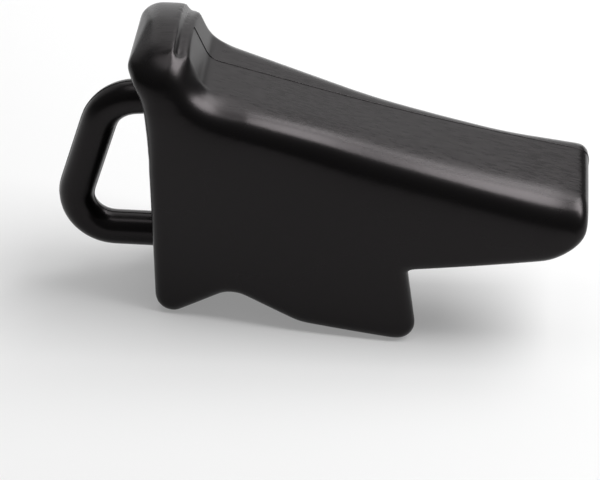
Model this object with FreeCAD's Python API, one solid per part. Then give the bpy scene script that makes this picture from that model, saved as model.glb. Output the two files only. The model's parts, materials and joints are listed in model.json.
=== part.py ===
import FreeCAD, Part
import math
import os

# Mulching plug: one sealed, blow-moulded plastic piece that closes the discharge chute of a lawn
# mower. Millimetres. While it is drawn, X runs from the back wall to the nose, Z is up, and Y = 0 is
# the parting plane of the mould, which holds the grip. At the end the origin moves to the middle of
# the bottom of its box.

# Side outline, from the bottom of the back wall to the hollow between the feet
BACK_FOOT_X = -0.7          # back wall, at the floor
LOBE_FRONT_X = 16.0         # front of the rear foot, at the floor
VALLEY_X = 57.8             # top of the hollow between the two feet
VALLEY_Z = 26.9
VALLEY_FALL = 0.43          # fall of the slope in front of the hollow for each millimetre forward

# Side outline, from the nose back over the crest to the back wall
NOSE_X = 310.0              # flat end of the nose
NOSE_TOP_Z = 123.9
TOP_MIDDLE_X = 174.0        # the top is slightly hollow along its length
TOP_MIDDLE_Z = 150.3
RAMP_FOOT_X = 41.8          # where the top meets the ramp of the crest, at the near side
RAMP_FOOT_Z = 184.9
RAMP_LEAN = 0.43            # how far the ramp leans back for each millimetre of its height
RAMP_SET_BACK = 4.2         # how much further back the ramp lies at the far side
CREST_RISE = 34.6           # height of the crest above the foot of the ramp
CREST_BACK_X = -2.2         # where the back of the crest would meet its height
LIP_X = -16.8               # tip of the lip that overhangs the back wall
LIP_DROP = 17.5             # how far it lies below the crest
LIP_ROOT_X = -5.5
LIP_ROOT_DROP = 43.5
BACK_BREAK_X = -1.7         # where the back wall starts to lean out
BACK_BREAK_Z = 132.0

# Radii of the outline's corners
REAR_FOOT_R = 13.0
LOBE_FRONT_R = 9.5
VALLEY_R = 21.0
TOP_MIDDLE_R = 1500.0
RAMP_FOOT_R = 28.0
LIP_ROOT_R = 30.0
BACK_BREAK_R = 60.0

# Underside of the front foot and the nose, drawn at the near face and cut askew through the body
UNDERSIDE_FACE_Y = -76.0
UNDERSIDE_SKEW = 12.0       # degrees from straight across
FOOT_START_X = 176.5        # start of the flat under the front foot
FOOT_SLOPE = 0.088          # rise of the shallow slope behind that flat for each millimetre back
FOOT_END_X = 195.0          # front of the front foot, at the floor
NOTCH_X = 187.0             # inner corner between the front foot and the nose
NOTCH_Z = 60.4
NOSE_SLOPE = 0.16           # rise of the nose's underside for each millimetre forward
SLOPE_FOOT_R = 40.0         # between the steep and the shallow slope
FOOT_START_R = 20.0
FRONT_FOOT_R = 12.5
NOTCH_R = 4.0
NOSE_LOW_R = 37.0           # between the nose's underside and its end

# Plan view: the near face bows out, and the far face is straight behind and then bends in
NEAR_BACK_Y = -53.0         # near face at the back wall
NEAR_NOSE_Y = -78.0         # near face at the nose
NEAR_BOW = 8.5              # how far the near face bows out from the straight
FAR_BACK_Y = 42.0           # far face behind the bend
FAR_BEND_X = 41.0
FAR_BEND_R = 80.0
FAR_MIDDLE_X = 150.0        # the far face is slightly hollow in front of the bend
FAR_MIDDLE_Y = 24.4
FAR_MIDDLE_R = 400.0
FAR_WAIST_X = 245.0         # narrowest part of the far side
FAR_WAIST_Y = 17.8
FAR_WAIST_R = 200.0
FAR_NOSE_Y = 24.2           # far face at the nose

# Crown of the crest, seen along the body
CROWN_R = 140.0
CROWN_Y = -12.0             # where the crest is highest

# Rounded edges
CREST_BACK_R = 18.0         # between the crown and the sloping back of the crest
SHOULDER_R = 22.0           # long edges of the top, up to the crest
CREST_R = 15.0              # rim of the crest
EDGE_R = 9.0                # all other outer edges

# Recess in the front of the crest: a step and a floor that follow the crown, and a ramp
RECESS_NEAR_Y = -43.0       # its near end
RECESS_DEPTH = 6.0          # of its floor, below the crown
RECESS_STEP_X = 19.6        # foot of the step
RECESS_STEP_SLOPE = 2.2     # fall of the step for each millimetre forward
RECESS_STEP_R = 1.0
RECESS_SET_BACK = 3.9       # how far its ramp lies behind the ramp of the crest
RECESS_BEND_R = 5.0         # where its floor turns down into its ramp
RECESS_FOOT_R = 14.0
RECESS_RUN = 16.0           # how far it runs on past the foot of the ramp
RECESS_SWEEP = 45.0         # degrees of the crown that it is cut from, to each side of the highest line

# Grip: a round tube on the parting plane
GRIP_R = 13.0
GRIP_LOW_X = -74.2          # lower corner of its centre line
GRIP_LOW_Z = 38.7
GRIP_LOW_BEND_R = 28.0
GRIP_HIGH_X = -38.0         # upper corner of its centre line
GRIP_HIGH_Z = 150.3
GRIP_HIGH_BEND_R = 32.0
GRIP_END_Z = 155.0          # upper end of its centre line, inside the back wall
GRIP_ROOT_DEPTH = 12.0      # how far the tube runs into the body
GRIP_ROOT_R = 4.0           # where it joins the back wall

SPARE = 60.0                # how far cutting shapes run past the body
CREST_SPARE = 12.0          # how far the crest runs up and forward before it is trimmed

# Worked out from the values above
CREST_Z = RAMP_FOOT_Z + CREST_RISE
CREST_FRONT_X = RAMP_FOOT_X - RAMP_LEAN * CREST_RISE
LIP_Z = CREST_Z - LIP_DROP
LIP_ROOT_Z = CREST_Z - LIP_ROOT_DROP
TOP_FALL = (RAMP_FOOT_Z - TOP_MIDDLE_Z) / (TOP_MIDDLE_X - RAMP_FOOT_X)


def rounded_edges(corners, closed=True):
    """Straight edges joined by tangent arcs, through (x, z, radius) corners of the parting plane."""
    points = [FreeCAD.Vector(x, 0.0, z) for x, z, radius in corners]
    count = len(points)
    stretches = []
    for index, point in enumerate(points):
        radius = corners[index][2]
        if radius <= 0.0:
            stretches.append((point, None, point))
            continue
        to_last = (points[index - 1] - point).normalize()
        to_next = (points[(index + 1) % count] - point).normalize()
        half_angle = to_last.getAngle(to_next) / 2.0
        inward = (to_last + to_next).normalize()
        tangent_length = radius / math.tan(half_angle)
        middle = point + inward * (radius / math.sin(half_angle) - radius)
        stretches.append((point + to_last * tangent_length, middle, point + to_next * tangent_length))
    edges = []
    for index, (start, middle, end) in enumerate(stretches):
        if middle is not None:
            edges.append(Part.Arc(start, middle, end).toShape())
        if closed or index < count - 1:
            following = stretches[(index + 1) % count][0]
            edges.append(Part.LineSegment(end, following).toShape())
    return edges


def face_from(corners):
    """A flat face in the parting plane with rounded corners."""
    return Part.Face(Part.Wire(rounded_edges(corners)))


def side_outline():
    """The outline of the body in the side view, before the ramp and the underside are cut."""
    slope_end_x = VALLEY_X + (VALLEY_Z + SPARE) / VALLEY_FALL
    back_lean = (CREST_BACK_X - LIP_X) / LIP_DROP
    front_x = RAMP_FOOT_X + CREST_SPARE
    return [
        (BACK_FOOT_X, 0.0, REAR_FOOT_R),
        (LOBE_FRONT_X, 0.0, LOBE_FRONT_R),
        (VALLEY_X, VALLEY_Z, VALLEY_R),
        (slope_end_x, -SPARE, 0.0),
        (NOSE_X, -SPARE, 0.0),
        (NOSE_X, NOSE_TOP_Z, 0.0),
        (TOP_MIDDLE_X, TOP_MIDDLE_Z, TOP_MIDDLE_R),
        (front_x, RAMP_FOOT_Z - TOP_FALL * CREST_SPARE, 0.0),
        (front_x, CREST_Z + CREST_SPARE, 0.0),
        (CREST_BACK_X + back_lean * CREST_SPARE, CREST_Z + CREST_SPARE, 0.0),
        (LIP_X, LIP_Z, 0.0),
        (LIP_ROOT_X, LIP_ROOT_Z, LIP_ROOT_R),
        (BACK_BREAK_X, BACK_BREAK_Z, BACK_BREAK_R),
    ]


def before_ramp():
    """The room in front of the ramp of the crest, which is askew to the body."""
    height = CREST_RISE + 2.0 * CREST_SPARE
    run = 2.0 * CREST_SPARE
    corners = [
        (RAMP_FOOT_X, RAMP_FOOT_Z, 0.0),
        (RAMP_FOOT_X + run, RAMP_FOOT_Z - TOP_FALL * run, 0.0),
        (RAMP_FOOT_X + run, RAMP_FOOT_Z + height, 0.0),
        (RAMP_FOOT_X - RAMP_LEAN * height, RAMP_FOOT_Z + height, 0.0),
    ]
    across = FreeCAD.Vector(-RAMP_SET_BACK, FAR_BACK_Y - NEAR_BACK_Y, TOP_FALL * RAMP_SET_BACK)
    room = face_from(corners).extrude(across * 4.0)
    room.translate(FreeCAD.Vector(0.0, NEAR_BACK_Y, 0.0) - across * 2.0)
    return room


def underside_shift(y):
    """How far the skew moves the underside along the body, at a given depth."""
    return (UNDERSIDE_FACE_Y - y) * math.tan(math.radians(UNDERSIDE_SKEW))


def below_underside():
    """The room under the shallow slope, in front of the front foot and under the nose."""
    start_x = (VALLEY_X + FOOT_START_X) / 2.0 - SPARE / 2.0
    past_nose = NOSE_X + 2.0 * SPARE
    corners = [
        (start_x, FOOT_SLOPE * (FOOT_START_X - start_x), 0.0),
        (FOOT_START_X, 0.0, FOOT_START_R),
        (FOOT_END_X, 0.0, FRONT_FOOT_R),
        (NOTCH_X, NOTCH_Z, NOTCH_R),
        (past_nose, NOTCH_Z + NOSE_SLOPE * (past_nose - NOTCH_X), 0.0),
        (past_nose, -2.0 * SPARE, 0.0),
        (start_x, -2.0 * SPARE, 0.0),
    ]
    depth = FAR_BACK_Y - UNDERSIDE_FACE_Y + 4.0 * SPARE
    room = face_from(corners).extrude(FreeCAD.Vector(0.0, depth, 0.0))
    room.translate(FreeCAD.Vector(0.0, UNDERSIDE_FACE_Y - 2.0 * SPARE, 0.0))
    pivot = FreeCAD.Vector(FOOT_END_X, UNDERSIDE_FACE_Y, 0.0)
    room.rotate(pivot, FreeCAD.Vector(0.0, 0.0, 1.0), UNDERSIDE_SKEW)
    return room


def in_plan(corners):
    """Straight edges joined by tangent arcs, through (x, y, radius) corners of the floor."""
    upright = rounded_edges(corners, closed=False)
    for edge in upright:
        edge.rotate(FreeCAD.Vector(), FreeCAD.Vector(1.0, 0.0, 0.0), -90.0)
    return upright


def near_side():
    """The near side of the plan: an arc that bows towards -Y, run on past both ends of the body."""
    back = FreeCAD.Vector(0.0, NEAR_BACK_Y, 0.0)
    nose = FreeCAD.Vector(NOSE_X, NEAR_NOSE_Y, 0.0)
    middle = (back + nose) * 0.5
    middle.y -= NEAR_BOW
    circle = Part.Circle(back, middle, nose)
    points = []
    for x in (-SPARE, NOSE_X / 2.0, NOSE_X + SPARE):
        reach = math.sqrt(circle.Radius ** 2 - (x - circle.Center.x) ** 2)
        points.append(FreeCAD.Vector(x, circle.Center.y - reach, 0.0))
    return [Part.Arc(*points).toShape()]


def far_side():
    """The far side of the plan: straight runs joined by a bend inwards, a hollow and the waist."""
    nose_slope = (FAR_NOSE_Y - FAR_WAIST_Y) / (NOSE_X - FAR_WAIST_X)
    return in_plan([
        (-SPARE, FAR_BACK_Y, 0.0),
        (FAR_BEND_X, FAR_BACK_Y, FAR_BEND_R),
        (FAR_MIDDLE_X, FAR_MIDDLE_Y, FAR_MIDDLE_R),
        (FAR_WAIST_X, FAR_WAIST_Y, FAR_WAIST_R),
        (NOSE_X + SPARE, FAR_NOSE_Y + nose_slope * SPARE, 0.0),
    ])


def plan_column():
    """The outline of the body in the plan view, as a tall column."""
    near = near_side()
    far = far_side()
    ends = [
        Part.LineSegment(near[0].Vertexes[0].Point, far[0].Vertexes[0].Point).toShape(),
        Part.LineSegment(near[-1].Vertexes[-1].Point, far[-1].Vertexes[-1].Point).toShape(),
    ]
    plan = Part.Face(Part.Wire(Part.__sortEdges__(near + far + ends)))
    column = plan.extrude(FreeCAD.Vector(0.0, 0.0, CREST_Z + 2.0 * SPARE))
    column.translate(FreeCAD.Vector(0.0, 0.0, -SPARE))
    return column


def above_crown():
    """What the crown of the crest takes off: the room over a round bar along the body."""
    length = NOSE_X + 2.0 * SPARE
    base = FreeCAD.Vector(-SPARE, CROWN_Y - CROWN_R, CREST_Z - SPARE / 2.0)
    room = Part.makeBox(length, 2.0 * CROWN_R, SPARE, base)
    axis_start = FreeCAD.Vector(-SPARE, CROWN_Y, CREST_Z - CROWN_R)
    along = FreeCAD.Vector(1.0, 0.0, 0.0)
    bar = Part.makeCylinder(CROWN_R, length, axis_start, along)
    bar.rotate(axis_start, along, 180.0)    # the bar's own seam goes to its underside
    return room.cut(bar)


def edge_near(edges, x, z):
    """The edge whose middle lies nearest to a point of the side view."""
    def distance(edge):
        centre = edge.CenterOfMass
        return math.hypot(centre.x - x, centre.z - z)
    return min(edges, key=distance)


def body_blank():
    """The side outline through the whole width, cut and rounded across, then trimmed to the plan."""
    start_y = NEAR_NOSE_Y - NEAR_BOW - SPARE
    width = FAR_BACK_Y + SPARE - start_y
    blank = face_from(side_outline()).extrude(FreeCAD.Vector(0.0, width, 0.0))
    blank.translate(FreeCAD.Vector(0.0, start_y, 0.0))
    blank = blank.cut(before_ramp()).removeSplitter()
    blank = blank.makeFillet(RAMP_FOOT_R, [edge_near(blank.Edges, RAMP_FOOT_X, RAMP_FOOT_Z)])
    blank = blank.cut(below_underside())
    shift = underside_shift(start_y + width / 2.0)
    foot_rise = FOOT_SLOPE * (FOOT_START_X + shift - VALLEY_X)
    slope_run = (VALLEY_Z - foot_rise) / (VALLEY_FALL - FOOT_SLOPE)
    slope_foot = edge_near(blank.Edges, VALLEY_X + slope_run, VALLEY_Z - VALLEY_FALL * slope_run)
    blank = blank.makeFillet(SLOPE_FOOT_R, [slope_foot])
    nose_low_z = NOTCH_Z + NOSE_SLOPE * (NOSE_X - NOTCH_X - shift)
    blank = blank.makeFillet(NOSE_LOW_R, [edge_near(blank.Edges, NOSE_X, nose_low_z)])
    return blank.common(plan_column()).cut(above_crown()).Solids[0]


def shoulder_edges(shape):
    """One edge of each long side of the top; the rounding runs on along the rest."""
    def distance(edge):
        centre = edge.CenterOfMass
        return math.hypot(centre.x - TOP_MIDDLE_X, centre.z - TOP_MIDDLE_Z)
    near = [edge for edge in shape.Edges if edge.CenterOfMass.y < NEAR_BACK_Y]
    far = [edge for edge in shape.Edges if edge.CenterOfMass.y > FAR_WAIST_Y]
    return [min(near, key=distance), min(far, key=distance)]


def rounded_body():
    """The blank with its shoulders, then the crest's rim, then every other edge rounded."""
    body = body_blank()
    body = body.makeFillet(CREST_BACK_R, [edge_near(body.Edges, CREST_BACK_X, CREST_Z)])
    body = body.makeFillet(SHOULDER_R, shoulder_edges(body))
    body = body.makeFillet(CREST_R, [edge_near(body.Edges, CREST_FRONT_X, CREST_Z)])
    return body.makeFillet(EDGE_R, [edge_near(body.Edges, LIP_X, LIP_Z)])


def recess_floor():
    """The room over the floor of the recess, which follows the crown, in front of the step."""
    above = CREST_Z + SPARE
    floor_z = CREST_Z - RECESS_DEPTH
    front_x = RAMP_FOOT_X + SPARE
    room = face_from([
        (RECESS_STEP_X - (above - floor_z) / RECESS_STEP_SLOPE, above, 0.0),
        (RECESS_STEP_X, floor_z, RECESS_STEP_R),
        (front_x, floor_z, 0.0),
        (front_x, above, 0.0),
    ])
    crown_axis = FreeCAD.Vector(0.0, 0.0, CREST_Z - CROWN_R)
    along = FreeCAD.Vector(1.0, 0.0, 0.0)
    room.rotate(crown_axis, along, RECESS_SWEEP)
    room = room.revolve(crown_axis, along, -2.0 * RECESS_SWEEP)
    room.translate(FreeCAD.Vector(0.0, CROWN_Y, 0.0))
    return room


def crest_recess():
    """What is cut from the crest, open to the far side."""
    above = CREST_Z + SPARE
    foot_x = RAMP_FOOT_X - RECESS_SET_BACK
    foot_z = RAMP_FOOT_Z + TOP_FALL * RECESS_SET_BACK
    ramp = face_from([
        (foot_x - RAMP_LEAN * (above - foot_z), above, 0.0),
        (foot_x, foot_z, RECESS_FOOT_R),
        (RAMP_FOOT_X + RECESS_RUN, RAMP_FOOT_Z - TOP_FALL * RECESS_RUN, 0.0),
        (RAMP_FOOT_X + SPARE, above, 0.0),
    ])
    width = FAR_BACK_Y + CREST_SPARE - RECESS_NEAR_Y
    ramp = ramp.extrude(FreeCAD.Vector(0.0, width, 0.0))
    ramp.translate(FreeCAD.Vector(0.0, RECESS_NEAR_Y, 0.0))
    corner = FreeCAD.Vector(-SPARE, RECESS_NEAR_Y, 0.0)
    between = Part.makeBox(NOSE_X, width, above, corner)
    recess = recess_floor().common(between).fuse(ramp).removeSplitter()
    bend_z = CREST_Z - RECESS_DEPTH
    bend_x = foot_x - RAMP_LEAN * (bend_z - foot_z)
    across = [edge for edge in recess.Edges if edge.Length > width / 2.0]
    return recess.makeFillet(RECESS_BEND_R, [edge_near(across, bend_x, bend_z)])


def grip():
    """The tube of the grip, along straight runs joined by tangent bends."""
    corners = [
        (GRIP_ROOT_DEPTH, GRIP_LOW_Z, 0.0),
        (GRIP_LOW_X, GRIP_LOW_Z, GRIP_LOW_BEND_R),
        (GRIP_HIGH_X, GRIP_HIGH_Z, GRIP_HIGH_BEND_R),
        (GRIP_ROOT_DEPTH, GRIP_END_Z, 0.0),
    ]
    path = Part.Wire(rounded_edges(corners, closed=False))
    start = FreeCAD.Vector(GRIP_ROOT_DEPTH, 0.0, GRIP_LOW_Z)
    ring = Part.Circle(start, FreeCAD.Vector(1.0, 0.0, 0.0), GRIP_R)
    return path.makePipeShell([Part.Wire(ring.toShape())], True, False)


def plug():
    """The whole moulding, with the origin at the middle of the bottom of its box."""
    body = rounded_body().cut(crest_recess())
    solid = body.fuse(grip()).removeSplitter()
    low_root = edge_near(solid.Edges, BACK_FOOT_X, GRIP_LOW_Z)
    high_root = edge_near(solid.Edges, BACK_BREAK_X, GRIP_END_Z)
    solid = solid.makeFillet(GRIP_ROOT_R, [low_root, high_root]).Solids[0]
    box = solid.optimalBoundingBox(False)
    solid.translate(FreeCAD.Vector(-box.Center.x, -box.Center.y, -box.ZMin))
    return solid


os.makedirs("parts", exist_ok=True)
plug().exportStep("parts/mulching_plug.step")
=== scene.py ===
import json
import math

import bmesh
import bpy
import numpy as np
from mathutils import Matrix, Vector


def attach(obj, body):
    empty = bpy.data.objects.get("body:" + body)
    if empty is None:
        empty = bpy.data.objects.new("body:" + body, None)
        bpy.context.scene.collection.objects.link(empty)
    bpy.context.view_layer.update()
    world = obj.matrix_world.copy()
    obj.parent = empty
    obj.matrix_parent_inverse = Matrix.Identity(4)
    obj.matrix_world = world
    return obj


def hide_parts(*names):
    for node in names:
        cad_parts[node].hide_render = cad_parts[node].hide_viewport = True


# Mulching plug: a black blow moulding, lit from above, by panels behind it and from its right. Metres.

# Camera, at the photograph's angle
CAMERA_AZIMUTH = 5.0            # degrees round the object from straight in front
CAMERA_ELEVATION = 34.0         # degrees above the floor
CAMERA_PLACE = (0.12456, -1.57421, 1.11259)
CAMERA_LENS = 156.0             # millimetres on a sensor 36 mm wide

# Floor
FLOOR_SIZE = 9.0
FLOOR_COLOUR = (0.60, 0.60, 0.60, 1.0)
FLOOR_WHITE = 0.25              # added to it for the camera and for reflections
FLOOR_ROUGHNESS = 0.9

# Lights: place, width and length, and brightness of the surface. The two keys draw the highlight along
# the near shoulder and over the nose, the panels light the top and the back of the crest.
KEY = ((1.35, -0.1, 2.2), (1.3, 1.6), 7.6)
SECOND_KEY = ((1.25, 1.05, 2.2), (1.1, 1.2), 5.0)
CEILING = ((0.35, 1.0, 2.2), (1.1, 1.2), 1.2)
FILL = ((-0.35, -0.1, 2.2), (1.1, 1.1), 1.6)
BACK_PANEL = ((-0.05, 0.8, 0.51), (1.05, 1.13), 0.75)
LEFT_PANEL = ((-0.95, 0.6, 0.55), (0.8, 1.1), 0.35)
SIDE_PANEL = ((1.9, -0.35, 1.6), (0.8, 0.8), 1.8)
LIGHTS_FACE = (0.0, 0.0, 0.1)
WORLD_LIGHT = 0.10

# Plastic
# Darkest and lightest tone of the plastic. The streaking on the top ranges between them, and upright faces
# are held near the dark one as painted shade
PLASTIC_DARK = (0.0018, 0.0017, 0.0018, 1.0)
PLASTIC_LIGHT = (0.012, 0.0111, 0.0113, 1.0)
PLASTIC_SPECULAR = 0.41
FLANK_SHADE_SPECULAR = 0.19           # upright faces reflect less: painted shade that keeps them dark
SPECULAR_UPWARD = (0.30, 0.65)  # upward part of the normal where that painted shade ends, and where the gloss is full
# pink tint of every reflection: painted colour of the light, which the lamps don't have
PAINTED_LIGHT_TINT = (1.0, 0.92, 0.945, 1.0)
ROUGHNESS_LOW = 0.26
ROUGHNESS_HIGH = 0.34
STREAK_LENGTH_SCALE = 3.5       # noise cells for each metre along a streak
STREAK_WIDTH_SCALE = 520.0      # and across it
STREAK_UPWARD = (0.88, 0.96)    # upward part of the normal where streaking starts, and where it is full
PAINTED_FLANK_SHADE = 0.40              # value where there is no streaking; it holds upright faces near the dark tone, which is painted shade
STREAK_GLOSS = 0.05             # how far a streak's roughness strays
STREAK_HEIGHT = 0.00001
GRAIN_SCALE = 900.0
GRAIN_HEIGHT = 0.00002
BLOTCH_SCALE = 9.0
EDGE_SOFTNESS = 0.0008          # radius that sharp edges are shaded with

# Skin: a finer mesh of the solid, with the softer forms of the moulding. Each pair is a span: where a form
# starts along that axis, and where it is full.
SKIN_CELL = 0.0016              # size of its quads
SKIN_ROUNDS = 4                 # rounds of smoothing all over
SOFT_ROUNDS = 230               # further rounds on the near shoulder, and on the crest's flank and top
SMOOTHING_STEP = 0.5            # how far a point goes to the middle of its neighbours in one round
SHOULDER_X = (-0.060, 0.040)    # near shoulder
SHOULDER_END_X = (0.186, 0.168)
SHOULDER_Y = (-0.005, -0.030)
SHOULDER_Z = (0.090, 0.100)
FLANK_SOFTNESS = 0.4            # share of those rounds that the near flank of the crest gets
FLANK_X = (-0.040, -0.070)
FLANK_Y = (-0.022, -0.028)
FLANK_Z = (0.120, 0.165)
DOME_X = (-0.099, -0.106)       # top of the crest, behind the recess
DOME_END_X = (-0.130, -0.120)
DOME_Y = (0.020, -0.015)
DOME_Z = (0.165, 0.190)
LEAN = 0.010                    # how far the near face leans out at the top of its back end
LEAN_X = (0.020, -0.090)
LEAN_Y = (-0.020, -0.036)
LEAN_Z = (0.020, 0.185)
DROOP = 0.005                   # how far the near rim of the crest hangs down
DROOP_X = (-0.068, -0.092)
DROOP_Y = (-0.020, -0.048)
DROOP_Z = (0.170, 0.200)
CAMBER = 0.006                  # how far the near side of the nose's top rounds down
CAMBER_X = (0.060, 0.190)
CAMBER_Y = (0.030, -0.080)
CAMBER_Z = (0.080, 0.112)
RECESS_SOFTNESS = 0.1           # share of the first rounds that the recess gets
RECESS_X = (-0.108, -0.103)
RECESS_Y = (-0.030, -0.026)
RECESS_Z = (0.175, 0.185)

# Parting line of the mould
SEAM_RADIUS = 0.0004
SEAM_HEIGHTS = (0.002, 0.211)   # it is trimmed off below the feet, on top of the crest
SEAM_LIP = (-0.100, 0.170)      # and on the lip, behind and above this place


def shader(material, kind, **inputs):
    """A new node with its inputs set."""
    node = material.node_tree.nodes.new(kind)
    for name, value in inputs.items():
        node.inputs[name.replace("_", " ")].default_value = value
    return node


def stretched_noise(material, scale, noise_scale, detail):
    """Noise in the object's own coordinates, stretched by a scale for each axis."""
    links = material.node_tree.links
    place = shader(material, "ShaderNodeTexCoord")
    mapping = shader(material, "ShaderNodeMapping", Scale=scale)
    noise = shader(material, "ShaderNodeTexNoise", Scale=noise_scale, Detail=detail)
    links.new(place.outputs["Object"], mapping.inputs["Vector"])
    links.new(mapping.outputs["Vector"], noise.inputs["Vector"])
    return noise.outputs["Fac"]


def remapped(material, value, low, high, to_low, to_high):
    """A value taken from one range to another."""
    node = shader(material, "ShaderNodeMapRange")
    for socket, number in zip(("From Min", "From Max", "To Min", "To Max"), (low, high, to_low, to_high)):
        node.inputs[socket].default_value = number
    material.node_tree.links.new(value, node.inputs["Value"])
    return node.outputs["Result"]


def black_plastic():
    """Satin black plastic with fine lengthwise streak lines on the top, a moulded grain and patchy gloss.
    Upright faces carry painted shade: a darker colour and less gloss than the top. Every reflection
    carries a painted pink tint that stands in for the colour of the light.
    """
    material = bpy.data.materials.new("black_plastic")
    material.use_nodes = True
    links = material.node_tree.links
    surface = material.node_tree.nodes["Principled BSDF"]
    # Reflections get a painted pink tint that stands in for the colour of the light
    surface.inputs["Specular Tint"].default_value = PAINTED_LIGHT_TINT

    along, across = STREAK_LENGTH_SCALE, STREAK_WIDTH_SCALE
    noise = stretched_noise(material, (along, across, across), 1.0, 4.0)
    place = shader(material, "ShaderNodeTexCoord")
    normal = shader(material, "ShaderNodeSeparateXYZ")
    links.new(place.outputs["Normal"], normal.inputs["Vector"])
    # Gloss set by facing direction: upright faces duller, as painted shade
    start, full = SPECULAR_UPWARD
    specular = remapped(material, normal.outputs["Z"], start, full, FLANK_SHADE_SPECULAR, PLASTIC_SPECULAR)
    links.new(specular, surface.inputs["Specular IOR Level"])
    start, full = STREAK_UPWARD
    # Streaking on upward faces, and elsewhere a fixed rest value that keeps upright faces near the dark
    # tone, as painted shade
    streak_and_shade_mix = shader(material, "ShaderNodeMix")
    streak_and_shade_mix.inputs["A"].default_value = PAINTED_FLANK_SHADE
    links.new(remapped(material, normal.outputs["Z"], start, full, 0.0, 1.0), streak_and_shade_mix.inputs["Factor"])
    links.new(noise, streak_and_shade_mix.inputs["B"])
    streaks_and_flank_shade = streak_and_shade_mix.outputs["Result"]
    blotches = stretched_noise(material, (1.0, 1.0, 1.0), BLOTCH_SCALE, 3.0)
    grain = stretched_noise(material, (1.0, 1.0, 1.0), GRAIN_SCALE, 2.0)

    # Colour: streaking on the top, and painted shade on upright faces
    tint = shader(material, "ShaderNodeMix")
    tint.data_type = "RGBA"
    tint.inputs["A"].default_value = PLASTIC_DARK
    tint.inputs["B"].default_value = PLASTIC_LIGHT
    links.new(remapped(material, streaks_and_flank_shade, 0.35, 0.65, 0.0, 1.0), tint.inputs["Factor"])
    links.new(tint.outputs["Result"], surface.inputs["Base Color"])

    gloss = shader(material, "ShaderNodeMath")
    gloss.operation = "ADD"
    links.new(remapped(material, streaks_and_flank_shade, 0.3, 0.7, -STREAK_GLOSS, STREAK_GLOSS), gloss.inputs[0])
    links.new(remapped(material, blotches, 0.3, 0.7, ROUGHNESS_LOW, ROUGHNESS_HIGH), gloss.inputs[1])
    links.new(gloss.outputs["Value"], surface.inputs["Roughness"])

    edges = shader(material, "ShaderNodeBevel", Radius=EDGE_SOFTNESS)
    scratches = shader(material, "ShaderNodeBump", Distance=STREAK_HEIGHT)
    links.new(streaks_and_flank_shade, scratches.inputs["Height"])
    links.new(edges.outputs["Normal"], scratches.inputs["Normal"])
    pores = shader(material, "ShaderNodeBump", Distance=GRAIN_HEIGHT)
    links.new(grain, pores.inputs["Height"])
    links.new(scratches.outputs["Normal"], pores.inputs["Normal"])
    links.new(pores.outputs["Normal"], surface.inputs["Normal"])
    return material


def eased(value, span):
    """0 before a span, 1 after it, and smooth between."""
    start, end = span
    share = np.clip((value - start) / (end - start), 0.0, 1.0)
    return share * share * (3.0 - 2.0 * share)


def smoothed(places, edges, weight, rounds):
    """Points drawn towards the middle of their neighbours, each by its weight, again and again."""
    count = len(places)
    starts, ends = edges.T
    neighbours = np.bincount(starts, minlength=count) + np.bincount(ends, minlength=count)
    for _ in range(rounds):
        middles = np.empty_like(places)
        for axis in range(3):
            total = np.bincount(starts, places[ends, axis], count)
            total += np.bincount(ends, places[starts, axis], count)
            middles[:, axis] = total / neighbours
        places = places + SMOOTHING_STEP * weight[:, None] * (middles - places)
    return places


def add_skin(node, material):
    """A finer mesh of the solid that shows in its place."""
    skin = bpy.data.objects.new("plug_skin", node.data.copy())
    bpy.context.scene.collection.objects.link(skin)
    remesh = skin.modifiers.new("cells", "REMESH")
    remesh.mode = "VOXEL"
    remesh.voxel_size = SKIN_CELL
    remesh.use_smooth_shade = True
    depsgraph = bpy.context.evaluated_depsgraph_get()
    mesh = bpy.data.meshes.new_from_object(skin.evaluated_get(depsgraph))
    skin.modifiers.clear()
    skin.data = mesh

    places = np.empty(3 * len(mesh.vertices))
    mesh.vertices.foreach_get("co", places)
    places = places.reshape(-1, 3)
    edges = np.empty(2 * len(mesh.edges), dtype=np.int32)
    mesh.edges.foreach_get("vertices", edges)
    edges = edges.reshape(-1, 2)

    x, y, z = places.T.copy()
    places[:, 1] -= LEAN * eased(x, LEAN_X) * eased(y, LEAN_Y) * eased(z, LEAN_Z)
    leant = places[:, 1].copy()
    places[:, 2] -= DROOP * eased(x, DROOP_X) * eased(leant, DROOP_Y) * eased(z, DROOP_Z)
    places[:, 2] -= CAMBER * eased(x, CAMBER_X) * eased(y, CAMBER_Y) * eased(z, CAMBER_Z)
    flank = FLANK_SOFTNESS * eased(x, FLANK_X) * eased(y, FLANK_Y) * eased(z, FLANK_Z)
    shoulder = eased(x, SHOULDER_X) * eased(x, SHOULDER_END_X)
    shoulder *= eased(y, SHOULDER_Y) * eased(z, SHOULDER_Z)
    dome = eased(x, DOME_X) * eased(x, DOME_END_X) * eased(y, DOME_Y) * eased(z, DOME_Z)
    soft = np.maximum(np.maximum(flank, shoulder), dome)
    recess = eased(x, RECESS_X) * eased(y, RECESS_Y) * eased(z, RECESS_Z)
    places = smoothed(places, edges, 1.0 - (1.0 - RECESS_SOFTNESS) * recess, SKIN_ROUNDS)
    places = smoothed(places, edges, soft, SOFT_ROUNDS)
    mesh.vertices.foreach_set("co", places.ravel())
    mesh.update()

    mesh.materials.clear()
    mesh.materials.append(material)
    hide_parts("mulching_plug")
    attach(skin, "root")
    return skin


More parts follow.
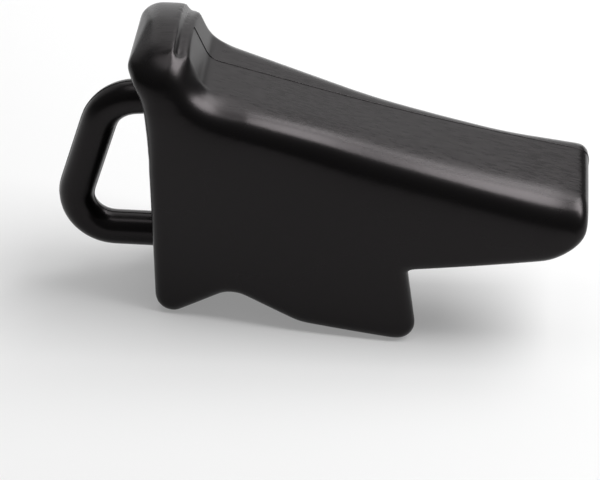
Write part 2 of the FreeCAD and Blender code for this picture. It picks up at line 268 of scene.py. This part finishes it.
def section_loops(piece, depth):
    """The closed lines along which an upright plane at a given depth cuts a piece."""
    mesh = bmesh.new()
    mesh.from_mesh(piece.data)
    everything = mesh.verts[:] + mesh.edges[:] + mesh.faces[:]
    bmesh.ops.bisect_plane(
        mesh, geom=everything, plane_co=(0.0, depth, 0.0), plane_no=(0.0, 1.0, 0.0),
        clear_inner=True, clear_outer=True)
    bmesh.ops.remove_doubles(mesh, verts=mesh.verts[:], dist=SEAM_RADIUS)
    loops = []
    unused = set(mesh.verts)
    while unused:
        vert = unused.pop()
        loop = [vert]
        while vert is not None:
            nearby = [edge.other_vert(vert) for edge in vert.link_edges]
            vert = next((other for other in nearby if other in unused), None)
            if vert is not None:
                unused.discard(vert)
                loop.append(vert)
        loops.append([vert.co.copy() for vert in loop])
    mesh.free()
    return loops


def seam_runs(loop):
    """The stretches of a closed line that keep between the seam's heights, and whether each is closed."""
    low, high = SEAM_HEIGHTS
    lip_x, lip_z = SEAM_LIP
    kept = [low < place.z < high and (place.x > lip_x or place.z < lip_z) for place in loop]
    if all(kept):
        return [(loop, True)]
    start = kept.index(False)
    runs = [[]]
    for place, keep in zip(loop[start:] + loop[:start], kept[start:] + kept[:start]):
        if keep:
            runs[-1].append(place)
        elif runs[-1]:
            runs.append([])
    return [(run, False) for run in runs if len(run) > 1]


def add_seam(piece, material, depth):
    """The thin bead that the mould leaves along its parting plane."""
    curve = bpy.data.curves.new("seam", "CURVE")
    curve.dimensions = "3D"
    curve.bevel_depth = SEAM_RADIUS
    curve.bevel_resolution = 2
    for loop in section_loops(piece, depth):
        for run, closed in seam_runs(loop):
            spline = curve.splines.new("POLY")
            spline.points.add(len(run) - 1)
            for point, place in zip(spline.points, run):
                point.co = (place.x, place.y, place.z, 1.0)
            spline.use_cyclic_u = closed
    seam = bpy.data.objects.new("seam", curve)
    bpy.context.scene.collection.objects.link(seam)
    curve.materials.append(material)
    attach(seam, "root")


def add_floor():
    """A plain pale floor, much larger than the object."""
    bpy.ops.mesh.primitive_plane_add(size=FLOOR_SIZE)
    floor = bpy.context.object
    floor.name = "floor"
    material = bpy.data.materials.new("floor_paint")
    material.use_nodes = True
    surface = material.node_tree.nodes["Principled BSDF"]
    surface.inputs["Base Color"].default_value = FLOOR_COLOUR
    surface.inputs["Roughness"].default_value = FLOOR_ROUGHNESS
    surface.inputs["Specular IOR Level"].default_value = 0.0
    surface.inputs["Emission Color"].default_value = (1.0, 1.0, 1.0, 1.0)
    rays = shader(material, "ShaderNodeLightPath")
    shown = rays.outputs["Is Camera Ray"]
    for kind in ("Is Glossy Ray", "Is Transmission Ray"):
        either = shader(material, "ShaderNodeMath")
        either.operation = "MAXIMUM"
        material.node_tree.links.new(shown, either.inputs[0])
        material.node_tree.links.new(rays.outputs[kind], either.inputs[1])
        shown = either.outputs["Value"]
    white = remapped(material, shown, 0.0, 1.0, 0.0, FLOOR_WHITE)
    material.node_tree.links.new(white, surface.inputs["Emission Strength"])
    floor.data.materials.append(material)


def add_light(name, light):
    """A rectangular lamp whose surface has a given brightness, turned to the object."""
    place, size, radiance = light
    lamp = bpy.data.lights.new(name, "AREA")
    lamp.shape = "RECTANGLE"
    lamp.size, lamp.size_y = size
    lamp.energy = radiance * size[0] * size[1] * math.pi
    holder = bpy.data.objects.new(name, lamp)
    holder.location = place
    facing = Vector(LIGHTS_FACE) - Vector(place)
    holder.rotation_euler = facing.to_track_quat("-Z", "Y").to_euler()
    bpy.context.scene.collection.objects.link(holder)


def add_world():
    """Even, pale light from all round."""
    world = bpy.data.worlds.new("studio")
    world.use_nodes = True
    background = world.node_tree.nodes["Background"]
    background.inputs["Color"].default_value = (1.0, 1.0, 1.0, 1.0)
    background.inputs["Strength"].default_value = WORLD_LIGHT
    bpy.context.scene.world = world


def add_camera():
    """The photograph's viewpoint."""
    camera = bpy.data.cameras.new("camera")
    camera.lens = CAMERA_LENS
    holder = bpy.data.objects.new("camera", camera)
    holder.location = CAMERA_PLACE
    holder.rotation_euler = (math.radians(90.0 - CAMERA_ELEVATION), 0.0, math.radians(CAMERA_AZIMUTH))
    bpy.context.scene.collection.objects.link(holder)
    bpy.context.scene.camera = holder


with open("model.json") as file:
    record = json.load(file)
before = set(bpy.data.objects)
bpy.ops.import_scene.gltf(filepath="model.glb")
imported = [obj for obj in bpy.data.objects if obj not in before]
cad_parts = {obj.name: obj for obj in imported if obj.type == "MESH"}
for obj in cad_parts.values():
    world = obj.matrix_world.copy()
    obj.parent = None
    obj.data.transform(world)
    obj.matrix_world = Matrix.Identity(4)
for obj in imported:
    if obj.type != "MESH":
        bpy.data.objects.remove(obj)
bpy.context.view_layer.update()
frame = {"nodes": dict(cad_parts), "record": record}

plug = frame["nodes"]["mulching_plug"]
mounts = {mount["name"]: mount for mount in frame["record"]["mounts"]}
plastic = black_plastic()
plug.data.materials.clear()
plug.data.materials.append(plastic)
skin = add_skin(plug, plastic)
add_seam(skin, plastic, mounts["grip"]["pos_m"][1])
add_floor()
add_light("key", KEY)
add_light("second_key", SECOND_KEY)
add_light("ceiling", CEILING)
add_light("fill", FILL)
add_light("back_panel", BACK_PANEL)
add_light("left_panel", LEFT_PANEL)
add_light("side_panel", SIDE_PANEL)
add_world()
add_camera()
bpy.context.scene.view_settings.view_transform = "Standard"
